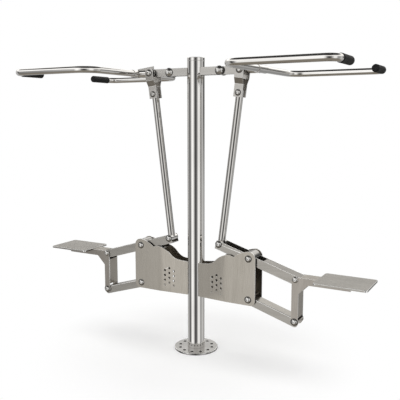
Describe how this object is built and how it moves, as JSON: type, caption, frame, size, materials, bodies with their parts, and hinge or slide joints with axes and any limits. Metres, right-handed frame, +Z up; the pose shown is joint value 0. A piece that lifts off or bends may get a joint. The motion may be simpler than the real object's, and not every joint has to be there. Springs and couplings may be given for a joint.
{
  "type": "outdoor lat pulldown machine",
  "caption": "Twin-station outdoor lat pulldown machine: seats on parallel levers, pull rods and U-shaped handles on a flanged stainless steel post.",
  "frame": {"origin": "on the ground, at the axis of the post", "axes": "+Z up along the post, +X towards the right station, +Y away from the front"},
  "size_m": [2.3734, 1.0822, 1.962],
  "materials": {
    "satin_steel": "satin",
    "polished_steel": "polished",
    "bolt_steel": "polished",
    "black_polymer": "matt",
    "black_rubber": "matt"
  },
  "bodies": {
    "frame": {"base_flange": "satin_steel", "base_collar": "polished_steel", "post": "polished_steel", "post_cap": "satin_steel", "wing_pivot_bolts": "bolt_steel", "arm_cheeks": "satin_steel", "handle_pivot_bolts": "bolt_steel", "stop_bars": "satin_steel", "stop_pads": "black_rubber", "wing_plate_front_right": "satin_steel", "wing_plate_back_right": "satin_steel", "wing_plate_front_left": "satin_steel", "wing_plate_back_left": "satin_steel"},
    "handle_right": {"handle_arm_right": "satin_steel", "handle_hubs_right": "polished_steel", "handle_bushes_right": "black_polymer", "handle_stub_right": "polished_steel", "handle_rib_right": "satin_steel", "handle_sleeve_right": "polished_steel", "handle_tube_right": "polished_steel", "handle_grips_right": "black_rubber"},
    "lever_right": {"lever_channel_right": "satin_steel", "lever_hubs_right": "polished_steel", "lever_bushes_right": "black_polymer", "lever_bolts_right": "bolt_steel"},
    "guide_right": {"guide_channel_right": "satin_steel", "guide_hubs_right": "polished_steel", "guide_bushes_right": "black_polymer"},
    "seat_right": {"seat_bolt_right": "bolt_steel", "seat_bracket_plates_right": "satin_steel", "seat_bracket_webs_right": "satin_steel", "seat_plate_right": "satin_steel"},
    "rod_right": {"rod_tube_right": "polished_steel", "rod_foot_right": "polished_steel", "rod_fork_plates_right": "satin_steel", "rod_fork_bolts_right": "bolt_steel"},
    "handle_left": {"handle_arm_left": "satin_steel", "handle_hubs_left": "polished_steel", "handle_bushes_left": "black_polymer", "handle_stub_left": "polished_steel", "handle_rib_left": "satin_steel", "handle_sleeve_left": "polished_steel", "handle_tube_left": "polished_steel", "handle_grips_left": "black_rubber"},
    "lever_left": {"lever_channel_left": "satin_steel", "lever_hubs_left": "polished_steel", "lever_bushes_left": "black_polymer", "lever_bolts_left": "bolt_steel"},
    "guide_left": {"guide_channel_left": "satin_steel", "guide_hubs_left": "polished_steel", "guide_bushes_left": "black_polymer"},
    "seat_left": {"seat_bolt_left": "bolt_steel", "seat_bracket_plates_left": "satin_steel", "seat_bracket_webs_left": "satin_steel", "seat_plate_left": "satin_steel"},
    "rod_left": {"rod_tube_left": "polished_steel", "rod_foot_left": "polished_steel", "rod_fork_plates_left": "satin_steel", "rod_fork_bolts_left": "bolt_steel"}
  },
  "joints": [
    {"name": "handle_lift_right", "type": "hinge", "parent": "frame", "child": "handle_right", "pos_m": [0.187, 0, 1.873], "axis": [0, -1, 0], "range_deg": [0, 30.8]},
    {"name": "lever_pivot_right", "type": "hinge", "parent": "frame", "child": "lever_right", "pos_m": [0.415, 0, 0.688], "axis": [0, 1, 0], "range_deg": [0, 20.1]},
    {"name": "guide_pivot_right", "type": "hinge", "parent": "frame", "child": "guide_right", "pos_m": [0.415, 0, 0.419], "axis": [0, 1, 0], "range_deg": [0, 20.1]},
    {"name": "seat_pivot_right", "type": "hinge", "parent": "lever_right", "child": "seat_right", "pos_m": [0.72771, 0, 0.59239], "axis": [0, 1, 0], "range_deg": [-20.1, 0]},
    {"name": "rod_pivot_right", "type": "hinge", "parent": "lever_right", "child": "rod_right", "pos_m": [0.19314, 0, 0.75583], "axis": [0, 1, 0], "range_deg": [-22.8, 0]},
    {"name": "handle_lift_left", "type": "hinge", "parent": "frame", "child": "handle_left", "pos_m": [-0.187, 0, 1.873], "axis": [0, 1, 0], "range_deg": [0, 30.8]},
    {"name": "lever_pivot_left", "type": "hinge", "parent": "frame", "child": "lever_left", "pos_m": [-0.415, 0, 0.688], "axis": [0, -1, 0], "range_deg": [0, 20.1]},
    {"name": "guide_pivot_left", "type": "hinge", "parent": "frame", "child": "guide_left", "pos_m": [-0.415, 0, 0.419], "axis": [0, -1, 0], "range_deg": [0, 20.1]},
    {"name": "seat_pivot_left", "type": "hinge", "parent": "lever_left", "child": "seat_left", "pos_m": [-0.72771, 0, 0.59239], "axis": [0, -1, 0], "range_deg": [-20.1, 0]},
    {"name": "rod_pivot_left", "type": "hinge", "parent": "lever_left", "child": "rod_left", "pos_m": [-0.19314, 0, 0.75583], "axis": [0, -1, 0], "range_deg": [-22.8, 0]}
  ],
  "couplings": [
    {"joint": "lever_pivot_right", "follows": "handle_lift_right", "ratio": 0.65018},
    {"joint": "guide_pivot_right", "follows": "handle_lift_right", "ratio": 0.65018},
    {"joint": "seat_pivot_right", "follows": "handle_lift_right", "ratio": -0.65018},
    {"joint": "rod_pivot_right", "follows": "handle_lift_right", "ratio": -0.73643},
    {"joint": "lever_pivot_left", "follows": "handle_lift_left", "ratio": 0.65018},
    {"joint": "guide_pivot_left", "follows": "handle_lift_left", "ratio": 0.65018},
    {"joint": "seat_pivot_left", "follows": "handle_lift_left", "ratio": -0.65018},
    {"joint": "rod_pivot_left", "follows": "handle_lift_left", "ratio": -0.73643}
  ]
}
